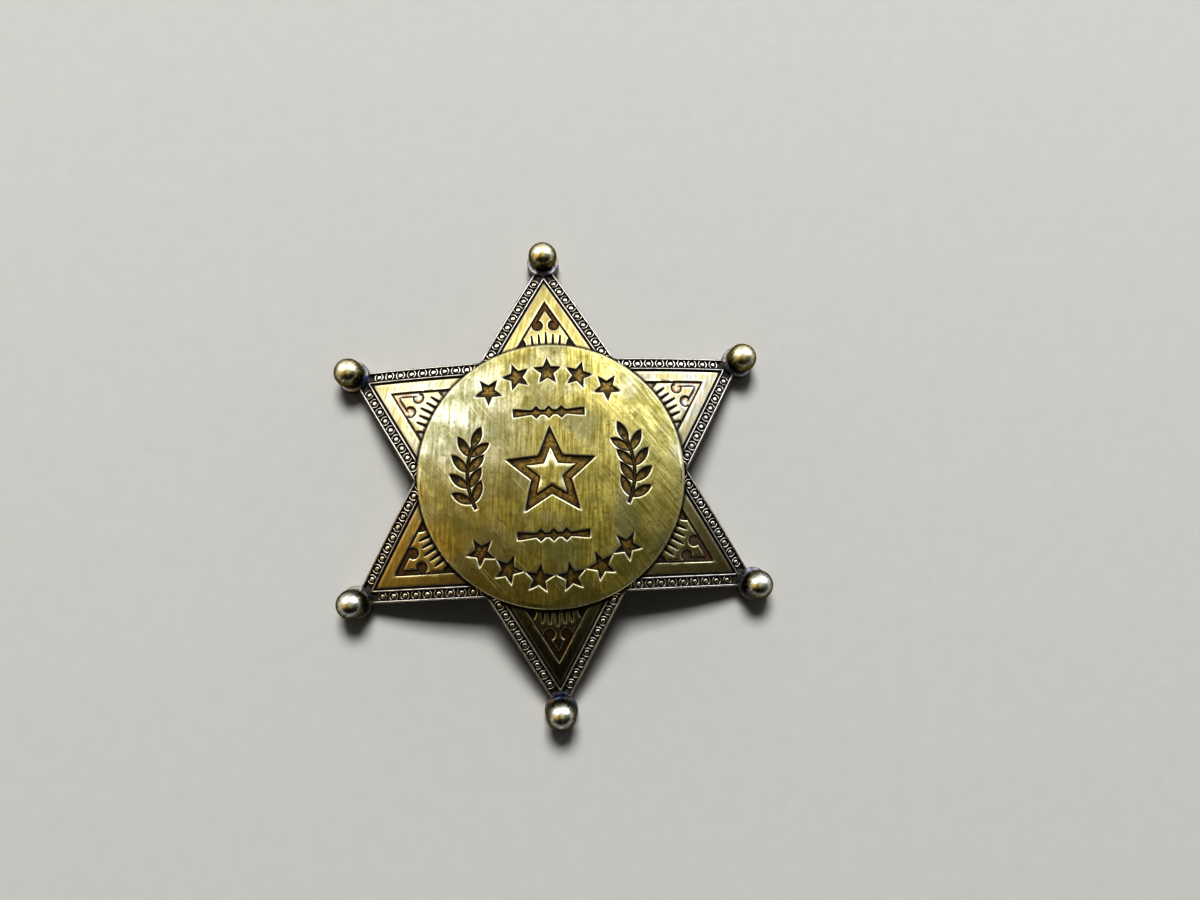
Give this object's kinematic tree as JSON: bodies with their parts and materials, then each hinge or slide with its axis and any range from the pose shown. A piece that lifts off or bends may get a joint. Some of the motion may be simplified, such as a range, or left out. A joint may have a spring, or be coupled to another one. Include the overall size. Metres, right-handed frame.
{
  "type": "sheriff star badge",
  "caption": "Domed six-pointed star badge of antique brass with ball tips, a bead-and-reel border and a raised engraved disc, with a plain pin across its hollow back.",
  "frame": {"origin": "under the middle of the star, on the plane that its six tabs rest on", "axes": "+Z out of the face, +Y towards the top point, +X to the right of the face as it is read"},
  "size_m": [0.065, 0.0744, 0.0096],
  "materials": {
    "star_brass": "antiqued and brushed, dark in the hollows",
    "disc_brass": "antiqued and brushed, amber in the engraving",
    "pin_brass": "dull"
  },
  "bodies": {
    "root": {"star_plate": "star_brass", "centre_disc": "disc_brass", "back_pin": "pin_brass"}
  },
  "joints": []
}
